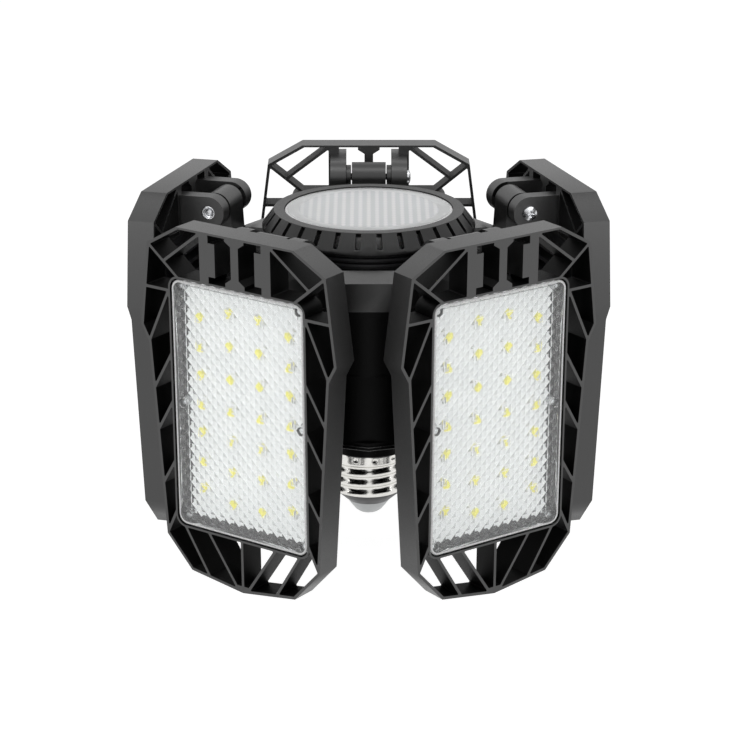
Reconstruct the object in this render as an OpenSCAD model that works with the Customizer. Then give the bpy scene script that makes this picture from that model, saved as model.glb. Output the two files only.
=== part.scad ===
// Folding garage light: a round centre lamp on an E26 screw base, with five hinged LED panels.
// The light stands base down. The origin is the tip of the base's centre contact and +Z runs
// up the lamp's axis. A panel's azimuth is counted about +Z from the -Y direction.
// Every panel piece is drawn about its own hinge pin: X along the pin, -Y outwards, Z up.

/* [Whole light] */
// Angle the panels are swung out from their folded place
fold = 0; // [0:1:91]
// Height of the centre lamp's front plane above the base tip
lamp_z = 109; // [107:0.5:116]

/* [Centre lamp] */
// Radius of the visible round lens
lens_r = 28.4; // [26:0.1:28.6]
// Outer radius of the flat ring round the lens
bezel_top_r = 31.9; // [31.5:0.1:32.5]
// Outer radius at the foot of the conical bezel
bezel_r = 35.9; // [35:0.1:36.2]
// Number of cooling slots in the bezel's cone
slot_count = 30; // [20:5:30]
// Width of a cooling slot
slot_w = 1.8; // [1.2:0.1:2.2]
// Radius of the upper cooling fin under the bezel
fin_r = 35.2; // [34:0.1:35.5]

/* [Hinges] */
// Distance of a hinge pin from the lamp's axis
hinge_r = 52.7; // [52:0.1:55]
// Depth of the hinge pins below the lamp's front plane
hinge_drop = 2.83; // [2.5:0.1:3.5]
// Radius of the hub's hinge barrels
barrel_r = 5.2; // [4.8:0.1:5.4]
// Half the length of a hinge barrel
barrel_half = 6.0; // [5:0.1:6.2]
// Inner side of a panel's hinge lugs, from the panel's middle
lug_in = 8.05; // [8.05:0.05:8.2]
// Outer side of a panel's hinge lugs
lug_out = 13.6; // [13:0.1:14]
// Radius of the lugs' round ends
lug_r = 5.6; // [5:0.1:5.6]
// Radius of the hinge screw's shank
pin_r = 1.25; // [1.2:0.05:1.5]
// Radial play of the screw in the barrel and the lugs
pin_play = 0.05; // [0.02:0.01:0.1]
// Angle by which the folded panels lean in towards the housing
rest_lean = 1; // [0:0.5:2]

/* [Panels] */
// Distance from the hinge pin to a panel's front face
face_y = 19.8; // [19:0.1:21]
// Depth of a panel's open frame
frame_depth = 9.3; // [8.5:0.1:9.5]
// Thickness of the frame's outer wall
wall = 1.0; // [0.9:0.1:1.4]
// Thickness of the frame's ribs
rib = 0.95; // [0.8:0.05:1.2]
// Radius in the corners of the frame's cells
cell_r = 0.3; // [0.3:0.1:0.8]
// Half the width of the rectangular rim round a panel's lens
rim_half_w = 27.8; // [27.6:0.1:28.5]
// Half the height of that rim
rim_half_h = 43.6; // [43.4:0.05:44.3]
// Thickness of that rim beside the lens
rim_w = 0.7; // [0.6:0.1:1.2]
// Thickness of a panel's lens plate
cover_t = 2.0; // [1.6:0.1:2.2]
// Depth of the lens plate's face behind the frame's face
cover_recess = 0.3; // [0:0.1:0.5]

/* [Screw base] */
// Radius of the screw shell's plain band
band_r = 13.05; // [12.9:0.05:13.05]
// Depth of the rolled thread
thread_depth = 0.75; // [0.5:0.05:0.8]
// Pitch of the thread, seven turns to the inch
thread_pitch = 3.629; // [3.6:0.001:3.65]

/* [Hidden] */
$fn = 64;
EPS = 0.01;
BLACK = "#2b2c2e";
METAL = "#b9bbbd";
CLEAR = "#dfe6ea";
WHITE = "#f2f2ee";
YELLOW = "#e8e28a";
PANELS = [1, 2, 3, 4, 5];
PANEL_STEP = 72;

// Heights above the base tip
hinge_z = lamp_z - hinge_drop;
bezel_foot_z = lamp_z - 6.4;
bezel_edge_z = lamp_z - 5.3;
sink_bottom_z = lamp_z - 13;
hub_top_z = lamp_z - 12;
hub_bottom_z = lamp_z - 25;
taper_z = 59;
cap_top_z = 33.6;
cap_bottom_z = 32.2;
shell_top_z = 24.3;
band_bottom_z = 19.6;
shell_bottom_z = 8.7;
insulator_bottom_z = 4.2;

// The hub is a decagon with a short side between two panels and a long side under each panel
hub_side_half = 8.8;
hub_side_y = 38.2;
hub_bevel_out = 3.8;
hub_bevel_down = 3.4;
hub_cavity_r = 32;
hub_top_t = 2.5;
arm_in_r = 35.5;

sink_core_r = 32.8;
sink_fin_t = 0.8;
lens_skirt_out = 30.4;
lens_skirt_t = 1.4;
lens_t = 1.7;
lens_recess = 0.3;
board_t = 1.4;
centre_board_r = 27.5;
led_t = 0.7;
screw_circle_r = 24;
board_screw_r = 1.45;

housing_side_y = 27.1;
housing_bore_r = 24.4;
housing_lip_z = hub_bottom_z + 3;
facet_recess = 0.5;
collar_r = 14;
spigot_r = 11.85;
shell_bore_r = 11.9;
spigot_bore_r = 7.5;

// Panel outline, right half, from the top edge down to the tip; [across, up] from the pin
OUT_A = [23.8, 8.9];
OUT_B = [36.2, 1.9];
OUT_C = [39.9, -26.7];
OUT_K = [36.8, -32.3];
OUT_E = [31.8, -99.0];
OUT_F = [21.6, -110.0];
OUT_G = [0, -113.1];

rim_mid = -51.45;
rim_top = rim_mid + rim_half_h;
rim_bottom = rim_mid - rim_half_h;
rim_corner_r = 4.1;
pocket_half_w = rim_half_w - rim_w;
pocket_half_h = rim_half_h - rim_w;
pocket_corner_r = rim_corner_r - rim_w;
ledge_w = 0.9;
ledge_depth = 3.5;
cover_back = cover_recess + cover_t;
fit_gap = 0.1;
cover_gap = 0.4;
top_wall = 0.7;
bar_in = 10.75;
bar_out = 14.4;

board_half_w = 24;
board_half_h = 40;
plate_depth = 6.2;
fin_count = 19;
fin_pitch = 4.4;
fin_w = 1.3;
fin_depth = 14.8;
fin_half_w = 26.4;
boss_r = 1.5;
boss_x = 24.3;
boss_z = 40;
panel_screw_r = 0.95;
panel_head_r = 1.9;

pin_head_r = 2.4;
pin_head_t = 1.3;
nut_r = 2.3;
nut_t = 2.0;
washer_r = 4.2;

led_columns = [-18.3, -6.1, 6.1, 18.3];
led_rows = 7;
inner_row_pitch = 10.95;
outer_row_pitch = 9.93;
led_w = 2.8;
led_h = 3.5;

// ---------------------------------------------------------------- places

// Azimuth of panel n
function azimuth(n) = PANEL_STEP / 2 + PANEL_STEP * (n - 1);

// Children drawn at azimuth 0, turned to panel n
module at_panel(n) {
    rotate([0, 0, azimuth(n)]) children();
}

// Children drawn about a hinge pin, moved to panel n and swung out by the fold angle
module on_hinge(n) {
    at_panel(n)
        translate([0, -hinge_r, hinge_z])
            rotate([rest_lean - fold, 0, 0]) children();
}

// A [radius, height] outline drawn at azimuth 0, given a thickness across
module radial_plate(half_w) {
    rotate([90, 0, -90]) linear_extrude(2 * half_w, center = true) children();
}

// An [across, up] outline made a slab that starts at a depth behind the panel's front face
module slab(depth, thickness) {
    rotate([90, 0, 0])
        translate([0, 0, face_y - depth - thickness])
            linear_extrude(thickness) children();
}

// A rod along the hinge pin, between two places across the panel
module pin_rod(r, x0, x1) {
    translate([x0, 0, 0]) rotate([0, 90, 0]) cylinder(r = r, h = x1 - x0);
}

// A rod square to the panel's face, between two depths
module depth_rod(x, z, r, depth0, depth1) {
    translate([x, depth0 - face_y, z]) rotate([-90, 0, 0]) cylinder(r = r, h = depth1 - depth0, $fn = 32);
}

// ---------------------------------------------------------------- outlines

// Where the lines through a[0], a[1] and b[0], b[1] cross
function crossing(a, b) =
    let (u = a[1] - a[0], v = b[1] - b[0], t = cross(b[0] - a[0], v) / cross(u, v))
    a[0] + t * u;

// Edge i of a closed anticlockwise outline, moved inwards by a distance
function inset_edge(points, i, distance) =
    let (p = points[i], q = points[(i + 1) % len(points)], d = (q - p) / norm(q - p))
    [for (point = [p, q]) point + distance * [-d[1], d[0]]];

// Direction that edge i faces outwards, in degrees
function edge_facing(points, i) =
    let (d = points[(i + 1) % len(points)] - points[i])
    atan2(-d[0], d[1]);

// A closed outline drawn in by half a rib or a wall at each edge, with round corners
function rounded_cell(points, gaps, r, steps = 3) =
    let (n = len(points))
    [for (i = [0 : n - 1])
        let (
            j = (i + n - 1) % n,
            before = inset_edge(points, j, gaps[j] + r),
            after = inset_edge(points, i, gaps[i] + r),
            middle = crossing(before, after),
            start = edge_facing(points, j),
            turn = (edge_facing(points, i) - start + 720) % 360
        )
        for (k = [0 : steps])
            let (angle = start + turn * k / steps)
            middle + r * [cos(angle), sin(angle)]];

// A point on the panel's long side wall, at a height
function side_point(v) =
    crossing([OUT_K, OUT_E], [[0, v], [1, v]]);

// A point on the panel's bottom edge, at a distance from the middle
function tip_point(u) =
    crossing([OUT_F, OUT_G], [[u, 0], [u, 1]]);

module rounded_rectangle(half_w, half_h, r) {
    square([2 * (half_w - r), 2 * half_h], center = true);
    square([2 * half_w, 2 * (half_h - r)], center = true);
    for (x = [-1, 1], y = [-1, 1])
        translate([x * (half_w - r), y * (half_h - r)]) circle(r = r, $fn = 32);
}

// Outline of a plate that drops into the frame's tray, with a gap all round
module tray_plate(gap) {
    translate([0, rim_mid])
        rounded_rectangle(pocket_half_w - gap, pocket_half_h - gap, pocket_corner_r);
}

// ---------------------------------------------------------------- centre lamp

// Clear round lens with a flange under the bezel's lip and a skirt down to the heat sink
module centre_lens() {
    top = lamp_z - lens_recess;
    flange_top = lamp_z - 2;
    color(CLEAR)
        rotate_extrude($fn = 96)
            polygon([
                [0, top - lens_t],
                [lens_skirt_out - lens_skirt_t, top - lens_t],
                [lens_skirt_out - lens_skirt_t, bezel_foot_z],
                [lens_skirt_out, bezel_foot_z],
                [lens_skirt_out, flange_top],
                [lens_r - fit_gap, flange_top],
                [lens_r - fit_gap, top],
                [0, top]
            ]);
}

// Conical ring that clamps the lens, pierced by cooling slots
module lens_bezel() {
    lip = 2;
    skin = 2.5;
    foot_in_r = 31.2;
    slot_down = 1.95;
    slot_up = 3.1;
    slot_reach = 2.8;
    cone_tilt = atan2(lamp_z - bezel_edge_z, bezel_r - bezel_top_r);
    color(BLACK)
        difference() {
            rotate_extrude($fn = 96)
                polygon([
                    [lens_r, lamp_z],
                    [bezel_top_r, lamp_z],
                    [bezel_r, bezel_edge_z],
                    [bezel_r, bezel_foot_z],
                    [foot_in_r, bezel_foot_z],
                    [foot_in_r, bezel_foot_z + 0.8],
                    [bezel_r - skin, bezel_foot_z + 0.8],
                    [foot_in_r - 0.4, lamp_z - lip],
                    [lens_r, lamp_z - lip]
                ]);
            for (i = [0 : slot_count - 1])
                rotate([0, 0, (i + 0.5) * 360 / slot_count])
                    translate([0, -(bezel_top_r + bezel_r) / 2, (lamp_z + bezel_edge_z) / 2])
                        rotate([cone_tilt, 0, 0])
                            translate([0, -slot_down, -slot_reach]) {
                                translate([-slot_w / 2, 0, 0])
                                    cube([slot_w, slot_down + slot_up, slot_reach + 1]);
                                cylinder(d = slot_w, h = slot_reach + 1, $fn = 24);
                            }
        }
}

// Round aluminium board with its screw holes
module centre_led_board() {
    color(WHITE)
        translate([0, 0, bezel_foot_z])
            difference() {
                cylinder(r = centre_board_r, h = board_t);
                for (n = PANELS)
                    at_panel(n)
                        translate([0, -screw_circle_r, -1])
                            cylinder(r = board_screw_r + 0.15, h = board_t + 2, $fn = 32);
            }
}

// Rings of surface-mounted LEDs
module centre_leds() {
    ring_radii = [6, 12, 18];
    ring_counts = [4, 8, 15];
    color(YELLOW)
        translate([0, 0, bezel_foot_z + board_t])
            for (ring = [0 : 2], i = [1 : ring_counts[ring]])
                rotate([0, 0, i * 360 / ring_counts[ring]])
                    translate([-led_w / 2, ring_radii[ring] - led_h / 2, 0])
                        cube([led_w, led_h, led_t]);
}

// Screws through the board and the heat sink into the hub
module centre_screws() {
    head_r = 2.6;
    head_t = 1.6;
    head_z = bezel_foot_z + board_t;
    tip_z = sink_bottom_z - hub_top_t + 0.5;
    color(METAL)
        for (n = PANELS)
            at_panel(n)
                translate([0, -screw_circle_r, 0]) {
                    translate([0, 0, tip_z]) cylinder(r = board_screw_r, h = head_z - tip_z, $fn = 32);
                    translate([0, 0, head_z])
                        difference() {
                            cylinder(r = head_r, h = head_t, $fn = 32);
                            cross_recess(head_t);
                        }
                }
}

// Crossed slots in the top of a screw head of a given height
module cross_recess(head_t) {
    depth = 0.7;
    for (turn = [0, 90])
        rotate([0, 0, turn])
            translate([-1.3, -0.3, head_t - depth]) cube([2.6, 0.6, depth + 1]);
}

// Aluminium body under the centre board, with two fins open to the air
module heat_sink() {
    color(BLACK)
        translate([0, 0, sink_bottom_z])
            difference() {
                union() {
                    cylinder(r = sink_core_r, h = bezel_foot_z - sink_bottom_z, $fn = 96);
                    translate([0, 0, 2.3]) cylinder(r = fin_r - 0.3, h = sink_fin_t, $fn = 96);
                    translate([0, 0, 4.2]) cylinder(r = fin_r, h = sink_fin_t, $fn = 96);
                }
                translate([0, 0, -1]) cylinder(r = 4, h = 20);
                for (n = PANELS)
                    at_panel(n)
                        translate([0, -screw_circle_r, -1])
                            cylinder(r = board_screw_r + 0.15, h = 20, $fn = 32);
            }
}

// ---------------------------------------------------------------- hub and driver

// Corners of the hub's decagon
function hub_outline() =
    [for (k = [0 : 4], side = [-1, 1])
        let (a = PANEL_STEP * k, x = side * hub_side_half)
        [x * cos(a) + hub_side_y * sin(a), x * sin(a) - hub_side_y * cos(a)]];

// Arm that rises from the hub's long side to a hinge barrel, drawn as [radius, height]
module hub_arm() {
    radial_plate(barrel_half)
        translate([0, lamp_z])
            polygon([
                [arm_in_r, -8.6],
                [40, -8.6],
                [47, -11.6],
                [47.4, -5.5],
                [hinge_r - barrel_r + 0.1, -hinge_drop],
                [hinge_r + barrel_r - 0.1, -hinge_drop],
                [hinge_r + 3.8, -8],
                [hinge_r + 1.3, -13],
                [hinge_r - 6.7, -22],
                [38, -25],
                [arm_in_r, -25]
            ]);
    translate([0, -hinge_r, hinge_z]) pin_rod(barrel_r, -barrel_half, barrel_half);
}

// Ten-sided hub with a bevelled top edge and five hinge arms
module hinge_hub() {
    bevel_tilt = atan2(hub_bevel_down, hub_bevel_out);
    sink_seat_r = sink_core_r + fit_gap;
    color(BLACK)
        difference() {
            union() {
                difference() {
                    translate([0, 0, hub_bottom_z])
                        linear_extrude(hub_top_z - hub_bottom_z) polygon(hub_outline());
                    for (k = [0 : 4])
                        rotate([0, 0, PANEL_STEP * k])
                            translate([-2 * hub_side_half, -hub_side_y, hub_top_z - hub_bevel_down])
                                rotate([bevel_tilt, 0, 0])
                                    translate([0, -10, 0]) cube([4 * hub_side_half, 20, 10]);
                }
                for (n = PANELS)
                    at_panel(n) hub_arm();
            }
            translate([0, 0, sink_bottom_z]) cylinder(r = sink_seat_r, h = 6, $fn = 96);
            translate([0, 0, hub_bottom_z - 1])
                cylinder(r = hub_cavity_r, h = sink_bottom_z - hub_top_t - hub_bottom_z + 1);
            translate([0, 0, hub_bottom_z]) cylinder(r = 4, h = 20);
            for (n = PANELS)
                at_panel(n) {
                    translate([0, -screw_circle_r, sink_bottom_z - hub_top_t - 1])
                        cylinder(r = board_screw_r + pin_play, h = hub_top_t + 2, $fn = 32);
                    translate([0, -hinge_r, hinge_z])
                        pin_rod(pin_r + pin_play, -barrel_half - 1, barrel_half + 1);
                }
        }
}

// Regular decagonal prism or frustum standing on z = 0, by the distance of its flat sides
module decagon(side_y_bottom, side_y_top, h) {
    rotate([0, 0, 18])
        cylinder(r1 = side_y_bottom / cos(18), r2 = side_y_top / cos(18), h = h, $fn = 10);
}

// Ten-sided driver cup that widens up to the hub, with a recessed panel on every side
module driver_housing() {
    flare_side_y = 34.6;
    lip_r = hub_cavity_r - fit_gap;
    lip_t = 2;
    recess_half_w = 8.0;
    recess_bottom_z = cap_top_z + 1.2;
    color(BLACK)
        difference() {
            union() {
                translate([0, 0, cap_top_z])
                    decagon(housing_side_y, housing_side_y, taper_z - cap_top_z);
                translate([0, 0, taper_z])
                    decagon(housing_side_y, flare_side_y, hub_bottom_z - taper_z);
                translate([0, 0, hub_bottom_z - EPS]) cylinder(r = lip_r, h = housing_lip_z - hub_bottom_z);
            }
            translate([0, 0, cap_top_z - 1]) cylinder(r = housing_bore_r, h = taper_z - cap_top_z + 1 + EPS);
            translate([0, 0, taper_z])
                cylinder(r1 = housing_bore_r, r2 = lip_r - lip_t, h = hub_bottom_z - taper_z + EPS);
            translate([0, 0, hub_bottom_z]) cylinder(r = lip_r - lip_t, h = 10);
            for (k = [0 : 9])
                rotate([0, 0, 36 * k])
                    translate([0, -housing_side_y + facet_recess, (recess_bottom_z + taper_z - 1.2) / 2])
                        rotate([90, 0, 0])
                            linear_extrude(2)
                                rounded_rectangle(recess_half_w, (taper_z - 1.2 - recess_bottom_z) / 2, 1.8);
        }
}

// Cap that closes the driver cup and carries the screw shell on its neck
module base_cap() {
    plug_h = 3;
    color(BLACK)
        difference() {
            union() {
                translate([0, 0, cap_bottom_z])
                    decagon(housing_side_y + 0.5, housing_side_y + 0.5, cap_top_z - cap_bottom_z);
                translate([0, 0, cap_top_z - EPS]) cylinder(r = housing_bore_r - fit_gap, h = plug_h);
                translate([0, 0, shell_top_z]) cylinder(r = collar_r, h = cap_bottom_z - shell_top_z + EPS);
                translate([0, 0, shell_bottom_z + 2]) cylinder(r = spigot_r, h = 20);
            }
            translate([0, 0, shell_bottom_z]) cylinder(r = spigot_bore_r, h = 40);
        }
}

// Driver circuit board, standing on the cap's plug
module driver_board() {
    color("#2f6b3a")
        translate([-17, 6, cap_top_z + 3]) cube([34, 1.6, 44]);
}

// Two smoothing capacitors lying against the board
module driver_capacitors() {
    color("#3b4a63")
        for (z = [46, 62])
            translate([-13, 0.8, z]) rotate([0, 90, 0]) cylinder(r = 5.2, h = 18);
}

// Transformer with its wound bobbin
module driver_transformer() {
    color("#d9b23c")
        translate([-2, 7.6, 50]) {
            cube([14, 11, 4]);
            translate([2, 1, 4]) cube([10, 9, 8]);
            translate([0, 0, 12]) cube([14, 11, 4]);
        }
}

// ---------------------------------------------------------------- screw base

// Radius of the rolled thread at a height and an angle; a crest starts the front of the band
function thread_r(z, angle) =
    band_r - 0.05 - thread_depth / 2
    + thread_depth / 2 * cos(360 * (z - band_bottom_z) / thread_pitch - angle - 90);

// Solid bounded by the rolled thread
module threaded_core(bottom, top) {
    around = 36;
    rows = ceil((top - bottom) / thread_pitch * 8);
    points = [
        for (row = [0 : rows], i = [0 : around - 1])
            let (z = bottom + (top - bottom) * row / rows, angle = 360 * i / around)
            [thread_r(z, angle) * cos(angle), thread_r(z, angle) * sin(angle), z]
    ];
    sides = [
        for (row = [0 : rows - 1], i = [0 : around - 1])
            let (j = (i + 1) % around, low = row * around, high = low + around)
            each [[low + i, high + i, low + j], [low + j, high + i, high + j]]
    ];
    floor_face = [for (i = [0 : around - 1]) i];
    roof_face = [for (i = [around - 1 : -1 : 0]) rows * around + i];
    polyhedron(points, concat(sides, [floor_face, roof_face]), convexity = 6);
}

// Plated screw shell with its plain band and rolled right-hand thread
module screw_shell() {
    color(METAL)
        difference() {
            union() {
                threaded_core(shell_bottom_z, band_bottom_z + 0.3);
                translate([0, 0, band_bottom_z]) cylinder(r = band_r, h = shell_top_z - band_bottom_z);
            }
            translate([0, 0, shell_bottom_z - 1]) cylinder(r = shell_bore_r, h = 20);
        }
}

// Insulating cone between the shell and the centre contact
module base_insulator() {
    color("#6f7173")
        rotate_extrude()
            polygon([
                [2, insulator_bottom_z],
                [6.3, insulator_bottom_z],
                [shell_bore_r + 0.2, shell_bottom_z],
                [shell_bore_r - fit_gap, shell_bottom_z],
                [shell_bore_r - fit_gap, shell_bottom_z + 1.8],
                [2, shell_bottom_z + 1.8]
            ]);
}

// Domed centre contact with the rivet that holds it
module centre_contact() {
    color(METAL)
        rotate_extrude()
            polygon([
                [0, 0],
                [2.4, 0.15],
                [3.7, 0.7],
                [6.0, insulator_bottom_z - 0.3],
                [6.0, insulator_bottom_z],
                [2 - pin_play, insulator_bottom_z],
                [2 - pin_play, shell_bottom_z + 2.4],
                [0, shell_bottom_z + 2.4]
            ]);
}

// ---------------------------------------------------------------- panels

function panel_outline() =
    let (half = [OUT_G, OUT_F, OUT_E, OUT_K, OUT_C, OUT_B, OUT_A])
    concat(half, [for (i = [len(half) - 1 : -1 : 1]) [-half[i][0], half[i][1]]]);

// Cells of the frame's right half: each has its corners and, edge by edge, how far it is drawn in
function frame_cells() =
    let (
        r2 = rib / 2,
        top_left = [13.2, OUT_A[1]],
        bar_foot = [bar_out, rim_top],
        junction = [29.6, -3.45],
        bar_head = crossing([top_left, junction], [[bar_out, 0], [bar_out, 1]]),
        corner_top = [24.2, rim_top],
        corner_side = [rim_half_w, -13.1],
        shoulder = crossing([OUT_B, OUT_C], [[0, -13.1], [1, -13.1]]),
        rim = [for (v = [-35.4, -51.9, -72.9, -90.8]) [rim_half_w, v]],
        side = [for (v = [-48.7, -63.1, -81.6]) side_point(v)],
        foot = [[23.6, rim_bottom], [13.7, rim_bottom], [0, rim_bottom]],
        tip = [tip_point(13.55), tip_point(1.5)],
        cell_foot = [[0, -110.7], [1, -110.7]],
        last_corner = crossing([foot[1], tip[1]], cell_foot)
    )
    [
        [[top_left, junction, OUT_B, OUT_A], [r2, r2, wall, top_wall]],
        [[bar_head, bar_foot, corner_top, junction], [0, 0, r2, r2]],
        [[OUT_B, corner_top, corner_side, shoulder], [r2, 0, r2, wall]],
        [[corner_side, OUT_K, OUT_C, shoulder], [r2, wall, wall, r2]],
        [[corner_side, rim[0], side[0], OUT_K], [0, r2, wall, r2]],
        [[rim[0], rim[1], side[1], side[0]], [0, r2, wall, r2]],
        [[rim[1], rim[2], side[2], side[1]], [0, r2, wall, r2]],
        [[rim[2], rim[3], OUT_E, side[2]], [0, r2, wall, r2]],
        [[rim[3], foot[0], tip[0], OUT_F, OUT_E], [0, r2, wall, wall, r2]],
        [[foot[0], foot[1], tip[1], tip[0]], [0, r2, wall, r2]],
        [[foot[1], foot[2], cell_foot[0], last_corner], [0, r2, 0, r2]]
    ];

// Window between a hinge bar and the flared middle bar
function hinge_window() =
    let (top = OUT_A[1] - top_wall)
    [
        [bar_in, top], [3.9, top], [3.9, 7.3], [1.55, 5.8],
        [1.55, -5], [3.9, -6.6], [3.9, rim_top], [bar_in, rim_top]
    ];

// Flat outline of the open frame
module frame_outline() {
    difference() {
        polygon(panel_outline());
        for (side = [0, 1])
            mirror([side, 0]) {
                for (cell = frame_cells())
                    polygon(rounded_cell(cell[0], cell[1], cell_r));
                polygon(hinge_window());
            }
    }
    translate([0, rim_mid]) rounded_rectangle(rim_half_w, rim_half_h, rim_corner_r);
}

// Hinge lug of the right half: an arm from the pin to the front face
module hinge_lug() {
    width = lug_out - lug_in;
    pin_rod(lug_r, lug_in, lug_out);
    translate([lug_in, -face_y, -lug_r]) cube([width, face_y, 2 * lug_r]);
}

// Moulded skeleton frame with its lens rim and two hinge lugs
module panel_frame(n) {
    color(BLACK)
        on_hinge(n)
            difference() {
                union() {
                    slab(0, frame_depth) frame_outline();
                    hinge_lug();
                    mirror([1, 0, 0]) hinge_lug();
                }
                slab(-1, cover_back + 1) tray_plate(0);
                slab(cover_back - EPS, 2)
                    translate([0, rim_mid])
                        rounded_rectangle(
                            pocket_half_w - ledge_w, pocket_half_h - ledge_w, pocket_corner_r - ledge_w
                        );
                slab(ledge_depth, 20) tray_plate(0);
                pin_rod(pin_r + pin_play, -20, 20);
                pin_rod(nut_r + pin_play, lug_out - nut_t, lug_out + 5);
            }
}

// Places of the lens's fixing bosses, at the corners and half way down each side
function boss_places() =
    [for (x = [-boss_x, boss_x], v = [-boss_z, 0, boss_z]) [x, rim_mid + v]];

// Clear cover with its fixing bosses
module panel_lens(n) {
    color(CLEAR)
        on_hinge(n)
            difference() {
                union() {
                    slab(cover_recess, cover_t) tray_plate(cover_gap);
                    for (p = boss_places())
                        depth_rod(p[0], p[1], boss_r, cover_back - EPS, plate_depth);
                }
                for (p = boss_places())
                    depth_rod(p[0], p[1], panel_screw_r + pin_play, cover_back + 1, plate_depth + 1);
            }
}

// White circuit board, notched round the lens bosses
module panel_board(n) {
    notch_r = boss_r + 0.3;
    color(WHITE)
        on_hinge(n)
            difference() {
                slab(plate_depth - board_t, board_t)
                    translate([0, rim_mid]) square([2 * board_half_w, 2 * board_half_h], center = true);
                for (p = boss_places())
                    depth_rod(p[0], p[1], notch_r, 0, 10);
            }
}

// Four columns of LEDs; the outer columns are set closer than the inner ones
module panel_leds(n) {
    color(YELLOW)
        on_hinge(n)
            for (x = led_columns, row = [0 : led_rows - 1])
                let (
                    pitch = abs(x) < led_columns[3] ? inner_row_pitch : outer_row_pitch,
                    z = rim_mid + pitch * (row - (led_rows - 1) / 2)
                )
                translate([x - led_w / 2, plate_depth - board_t - led_t - face_y, z - led_h / 2])
                    cube([led_w, led_t, led_h]);
}

// Aluminium back plate with fins across its width
module panel_heat_sink(n) {
    plate_t = frame_depth - plate_depth;
    color(BLACK)
        on_hinge(n)
            difference() {
                union() {
                    slab(plate_depth, plate_t) tray_plate(fit_gap);
                    for (i = [0 : fin_count - 1])
                        translate([
                            -fin_half_w,
                            frame_depth - EPS - face_y,
                            rim_mid + fin_pitch * (i - (fin_count - 1) / 2) - fin_w / 2
                        ])
                            cube([2 * fin_half_w, fin_depth - frame_depth, fin_w]);
                }
                for (p = boss_places()) {
                    depth_rod(p[0], p[1], panel_screw_r + 0.15, 0, 20);
                    depth_rod(p[0], p[1], panel_head_r + 0.5, frame_depth, 20);
                }
            }
}

// Screws from the back plate into the lens's bosses
module panel_screws(n) {
    head_t = 1.4;
    color(METAL)
        on_hinge(n)
            for (p = boss_places()) {
                depth_rod(p[0], p[1], panel_screw_r, cover_back + 1.2, frame_depth + EPS);
                depth_rod(p[0], p[1], panel_head_r, frame_depth, frame_depth + head_t);
            }
}

// Cross-head screw that is the hinge's pin
module hinge_screw(n) {
    color(METAL)
        on_hinge(n) {
            pin_rod(pin_r, -lug_out - EPS, lug_out - 0.7);
            translate([-lug_out, 0, 0])
                rotate([0, -90, 0])
                    difference() {
                        cylinder(r = pin_head_r, h = pin_head_t, $fn = 32);
                        cross_recess(pin_head_t);
                    }
        }
}

// Round sleeve nut, pressed into the outer side of the far lug, with a dished end
module hinge_nut(n) {
    end_x = lug_out - 0.2;
    dish_r = 1.75;
    dish_depth = 0.8;
    color(METAL)
        on_hinge(n)
            difference() {
                pin_rod(nut_r, lug_out - nut_t, end_x);
                pin_rod(pin_r + pin_play, lug_out - nut_t - 1, end_x + 1);
                pin_rod(dish_r, end_x - dish_depth, end_x + 1);
            }
}

// Friction washers between the lugs and the barrel
module hinge_washers(n) {
    side_gap = 0.3;
    color(METAL)
        on_hinge(n)
            for (side = [0, 1])
                mirror([side, 0, 0])
                    difference() {
                        pin_rod(washer_r, barrel_half + side_gap, lug_in);
                        pin_rod(pin_r + pin_play, barrel_half, lug_in + 1);
                    }
}

// ---------------------------------------------------------------- assembly

centre_lens();
lens_bezel();
centre_led_board();
centre_leds();
centre_screws();
heat_sink();
hinge_hub();
driver_housing();
base_cap();
driver_board();
driver_capacitors();
driver_transformer();
screw_shell();
base_insulator();
centre_contact();
for (n = PANELS) {
    panel_frame(n);
    panel_lens(n);
    panel_board(n);
    panel_leds(n);
    panel_heat_sink(n);
    panel_screws(n);
    hinge_screw(n);
    hinge_nut(n);
    hinge_washers(n);
}
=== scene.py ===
"""Looks of the folding garage light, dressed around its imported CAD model.

Every panel piece is built once, about its own hinge pin with X along the pin, -Y outwards and Z up,
and then placed on each of the five panels. The object's lengths are in millimetres, and MM turns
them into metres as vertices and places are made. The camera and the lights are placed in metres.
"""

import math

import bmesh
import bpy
from mathutils import Matrix, Vector
from mathutils.bvhtree import BVHTree
from mathutils.geometry import delaunay_2d_cdt


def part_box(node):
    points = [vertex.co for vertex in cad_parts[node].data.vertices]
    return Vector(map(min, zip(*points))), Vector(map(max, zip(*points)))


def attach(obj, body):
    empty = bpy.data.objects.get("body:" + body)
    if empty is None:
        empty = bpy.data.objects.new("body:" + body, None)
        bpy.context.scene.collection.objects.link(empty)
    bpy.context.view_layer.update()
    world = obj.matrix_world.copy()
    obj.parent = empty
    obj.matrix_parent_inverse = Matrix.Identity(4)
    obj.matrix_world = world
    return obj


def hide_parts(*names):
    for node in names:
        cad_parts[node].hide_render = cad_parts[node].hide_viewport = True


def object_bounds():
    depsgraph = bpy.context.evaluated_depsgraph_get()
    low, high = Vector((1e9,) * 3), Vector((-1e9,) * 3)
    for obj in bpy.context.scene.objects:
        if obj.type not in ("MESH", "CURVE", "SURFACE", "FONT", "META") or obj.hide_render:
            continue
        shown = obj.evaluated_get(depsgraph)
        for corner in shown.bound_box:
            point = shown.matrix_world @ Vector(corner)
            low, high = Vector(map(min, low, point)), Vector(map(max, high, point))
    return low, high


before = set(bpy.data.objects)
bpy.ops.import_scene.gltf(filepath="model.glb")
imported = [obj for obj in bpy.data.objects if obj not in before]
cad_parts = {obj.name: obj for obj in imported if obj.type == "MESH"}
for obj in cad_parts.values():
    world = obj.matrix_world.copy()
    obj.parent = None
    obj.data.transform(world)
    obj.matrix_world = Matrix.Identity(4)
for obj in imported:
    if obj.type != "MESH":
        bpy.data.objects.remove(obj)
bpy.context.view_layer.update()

MM = 0.001
LAMP_BODY = "lamp"
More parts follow.
